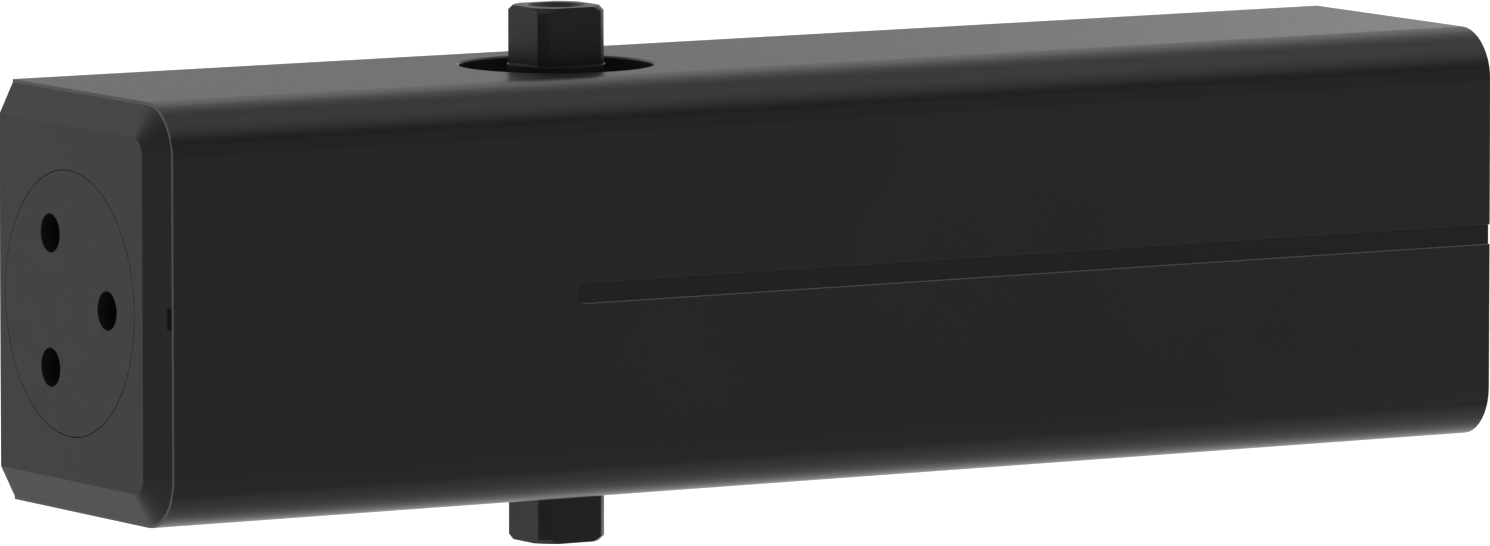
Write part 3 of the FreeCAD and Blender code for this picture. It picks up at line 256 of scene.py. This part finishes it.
def turned_black(name, dark, light, roughness, specular, centre, axis, pitch):
    """Black metal with faint marks of the lathe under the finish."""
    shader = Shader(name)
    soft = shader.rounded(0.08 * MM)
    patches = shader.spread(shader.noise(scale=300), low=0.1, high=0.6, from_low=0.4, from_high=0.7)
    rubbed = shader.math("MULTIPLY", shader.edges(soft), patches)
    shader.set(
        Base_Color=shader.blend(rubbed, shader.mottled(dark, light, scale=700, detail=3), grey(0.03, 0.031)),
        Roughness=shader.spread(shader.noise(scale=240), roughness - 0.03, roughness + 0.04),
        Specular_IOR_Level=specular,
    )
    turned = shader.bump(shader.rings(pitch, axis, centre), distance=0.002 * MM, strength=0.2, under=soft)
    shader.bump(shader.noise(scale=2400), distance=0.006 * MM, strength=0.2, under=turned)
    return shader.material


def machined(name, dark, light, roughness, centre, axis, pitch=0.22 * MM):
    """Bare metal with turning marks, darker patches and brighter edges."""
    shader = Shader(name)
    soft = shader.rounded(0.15 * MM)
    bright = tuple(min(1, 1.3 * value) for value in light)
    rubbed = shader.math("MULTIPLY", shader.edges(soft), 0.4)
    shader.set(
        Base_Color=shader.blend(rubbed, shader.mottled(dark, light, scale=120), bright),
        Roughness=shader.spread(shader.noise(scale=1400), roughness - 0.06, roughness + 0.08),
        Metallic=1.0,
    )
    shader.bump(shader.rings(pitch, axis, centre), distance=0.004 * MM, strength=0.4, under=soft)
    return shader.material


def matt(name, dark, light, roughness, specular, grain):
    """Rubber or moulded plastic with a fine grain."""
    shader = Shader(name)
    soft = shader.rounded(0.15 * MM)
    shader.set(
        Base_Color=shader.mottled(dark, light, scale=240),
        Roughness=shader.spread(shader.noise(scale=700), roughness - 0.05, roughness + 0.07),
        Specular_IOR_Level=specular,
    )
    shader.bump(shader.noise(grain), distance=0.008 * MM, strength=0.4, under=soft)
    return shader.material


# Stretches of the housing with painted light and shade on them
HOUSING_LOW, HOUSING_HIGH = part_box("housing")
GROOVE_DEPTH = 0.4 * MM
LIP_Z = -1.5 * MM
ENDS_PAINTED_HIGHLIGHT = grey(0.042)
HOUSING_STRETCHES = [
    # A painted highlight on the ends, painted shade on the groove's floor and a painted highlight on the
    # groove's lower lip
    # Both ends: a lighter grey, a painted highlight on the end ledges
    ("X", HOUSING_LOW.x, 0.3 * MM, (-1, 0, 0), ENDS_PAINTED_HIGHLIGHT),
    ("X", HOUSING_HIGH.x, 0.3 * MM, (1, 0, 0), ENDS_PAINTED_HIGHLIGHT),
    # The groove's floor: near black, painted shade in the recess
    ("Y", HOUSING_LOW.y + GROOVE_DEPTH, 0.15 * MM, (0, -1, 0), grey(0.001)),
    # The groove's lower lip: a lighter grey, a painted highlight along the edge
    ("Z", LIP_Z, 0.13 * MM, (0, 0, 1), grey(0.05)),
]

# The lines that the turned and machined pieces were turned about
CYLINDER = {"centre": middle("piston"), "axis": "X"}
SPINDLE = {"centre": middle("spindle"), "axis": "Z"}

# Each finish: its dark and light tones, then roughness, specular level and what its kind needs
FINISHES = {
    "housing_black": (coated_black, grey(0.0036, 0.0038), grey(0.0050, 0.0052),
                      {"roughness": 0.30, "specular": 0.15, "stretches": HOUSING_STRETCHES}),
    "cap_black": (coated_black, grey(0.0055), grey(0.0075), {"roughness": 0.36, "specular": 0.15}),
    "plug_black": (turned_black, grey(0.0055), grey(0.0080),
                   {"roughness": 0.36, "specular": 0.15, "pitch": 0.18 * MM, **CYLINDER}),
    "spindle_black": (turned_black, grey(0.0040), grey(0.0065),
                      {"roughness": 0.30, "specular": 0.12, "pitch": 0.2 * MM, **SPINDLE}),
    "bright_steel": (machined, (0.55, 0.56, 0.58), (0.66, 0.67, 0.69), {"roughness": 0.14, **CYLINDER}),
    "plain_steel": (machined, grey(0.30, 0.31), grey(0.42, 0.43), {"roughness": 0.34, **SPINDLE}),
    "spring_steel": (machined, (0.07, 0.075, 0.085), (0.13, 0.14, 0.16), {"roughness": 0.38, **CYLINDER}),
    "piston_iron": (machined, grey(0.16, 0.165), grey(0.25, 0.255), {"roughness": 0.40, **CYLINDER}),
    "screw_brass": (machined, (0.42, 0.30, 0.12), (0.55, 0.41, 0.18), {"roughness": 0.30, **CYLINDER}),
    "seal_rubber": (matt, grey(0.012), grey(0.022), {"roughness": 0.6, "specular": 0.4, "grain": 2600}),
    "slide_plastic": (matt, (0.55, 0.51, 0.42), (0.66, 0.62, 0.52),
                      {"roughness": 0.45, "specular": 0.45, "grain": 2200}),
}
LOOKS = {}
for name, (kind, dark, light, facts) in FINISHES.items():
    LOOKS[name] = kind(name, dark, light, **facts)
for row in frame["record"]["subparts"]:
    piece = nodes[row["node"]]
    piece.data.materials.clear()
    piece.data.materials.append(LOOKS[row["material_slot"]])

# Each spring's part is hidden, and a copy of its mesh is carried by its body instead
SPRINGS = [
    # Spring, body that carries it, joint that shortens it, whether its higher end along X rests
    ("outer_spring", "closer_body", "piston_slide", True),
    ("inner_spring", "closer_body", "piston_slide", True),
    ("check_valve_spring", "piston", "check_ball_lift", False),
    ("relief_valve_spring", "piston", "relief_ball_lift", True),
]
for node, body, joint, high_end_rests in SPRINGS:
    coil = bpy.data.objects.new(f"{node}_coil", nodes[node].data.copy())
    bpy.context.scene.collection.objects.link(coil)
    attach(coil, body)
    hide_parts(node)
    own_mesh(coil)

# Camera: the photograph's own viewpoint, worked out from its perspective
EYE = Vector((-1208.06, -2015.91, 250.26)) * MM
TARGET = Vector((-3.571, -24.0, -1.422)) * MM
LENS = 392.71
SENSOR_WIDTH = 36
NEAREST = 0.05
FARTHEST = 200

camera_data = bpy.data.cameras.new("camera")
camera_data.sensor_width = SENSOR_WIDTH
camera_data.sensor_fit = "HORIZONTAL"
camera_data.lens = LENS
camera_data.clip_start = NEAREST
camera_data.clip_end = FARTHEST
camera = bpy.data.objects.new("camera", camera_data)
bpy.context.scene.collection.objects.link(camera)
aim = (TARGET - EYE).to_track_quat("-Z", "Y").to_matrix().to_4x4()
camera.matrix_world = Matrix.Translation(EYE) @ aim
bpy.context.scene.camera = camera

# Floor: plain and white, well below the closer, and glowing a little more in two places and less in one
FLOOR_Z = -0.34
FLOOR_REACH = 40.0
FLOOR_TONE = grey(0.60)
FLOOR_ROUGHNESS = 0.9
FLOOR_GLOW = 0.38
WHITE = grey(1.0)
GLOW_PATCHES = [
    # Middle of the patch, its full and its outer reach, strength
    ((0.22, -0.05, FLOOR_Z), 0.2, 0.6, 0.3),
    ((2.2, -2.75, FLOOR_Z), 0.2, 1.0, 0.3),
    ((-2.1, 2.7, FLOOR_Z), 0.3, 1.2, -0.15),
]
corners = [(-1, -1), (1, -1), (1, 1), (-1, 1)]
floor_mesh = bpy.data.meshes.new("floor")
floor_mesh.from_pydata([(x * FLOOR_REACH, y * FLOOR_REACH, FLOOR_Z) for x, y in corners], [], [(0, 1, 2, 3)])
floor = bpy.data.objects.new("floor", floor_mesh)
bpy.context.scene.collection.objects.link(floor)
paper = Shader("pale_floor")
glow = FLOOR_GLOW
for centre, full, outer, strength in GLOW_PATCHES:
    away = paper.node("ShaderNodeVectorMath", operation="DISTANCE")
    paper.link(paper.place(), away.inputs[0])
    away.inputs[1].default_value = centre
    patch = paper.spread(away.outputs["Value"], strength, 0, full, outer, smooth=True)
    glow = paper.math("ADD", patch, glow)
paper.set(Base_Color=FLOOR_TONE, Roughness=FLOOR_ROUGHNESS, Emission_Color=WHITE, Emission_Strength=glow)
floor_mesh.materials.append(paper.material)

# Studio light: a pale room that is brighter overhead, with wide soft boxes in it
HORIZON_BACK = 0.55
HORIZON_FRONT = 0.85
HORIZON_TURN = 0.5
OVERHEAD = 1.35
OVERHEAD_STARTS = 0.25
OVERHEAD_FULL = 0.6
SOFT_BOXES = [
    # Direction from the closer, degrees of its full and its outer spread, strength
    ((0.51, -0.33, 0.78), 6, 22, 1.25),
    ((-0.39, 0.85, 0.34), 8, 30, 0.65),
    ((0.64, 0.76, 0.10), 4, 9, 0.9),
]
world = bpy.data.worlds.new("studio")
bpy.context.scene.world = world
world.use_nodes = True
room = Nodes(world.node_tree)
direction = room.node("ShaderNodeTexCoord").outputs["Generated"]
toward_back = room.dot(direction, (0, 1, 0))
upward = room.dot(direction, (0, 0, 1))
horizon = room.spread(toward_back, HORIZON_FRONT, HORIZON_BACK, -HORIZON_TURN, HORIZON_TURN, smooth=True)
rise = room.spread(upward, 0, 1, OVERHEAD_STARTS, OVERHEAD_FULL, smooth=True)
light = room.math("ADD", horizon, room.math("MULTIPLY", rise, room.math("SUBTRACT", OVERHEAD, horizon)))
for toward, full, outer, strength in SOFT_BOXES:
    share = room.dot(direction, Vector(toward).normalized())
    box_glow = room.spread(share, 0, strength, cosine(outer), cosine(full), smooth=True)
    light = room.math("ADD", light, box_glow)
background = world.node_tree.nodes["Background"]
background.inputs["Color"].default_value = (*WHITE, 1)
room.link(light, background.inputs["Strength"])

bpy.context.scene.view_settings.view_transform = "Standard"
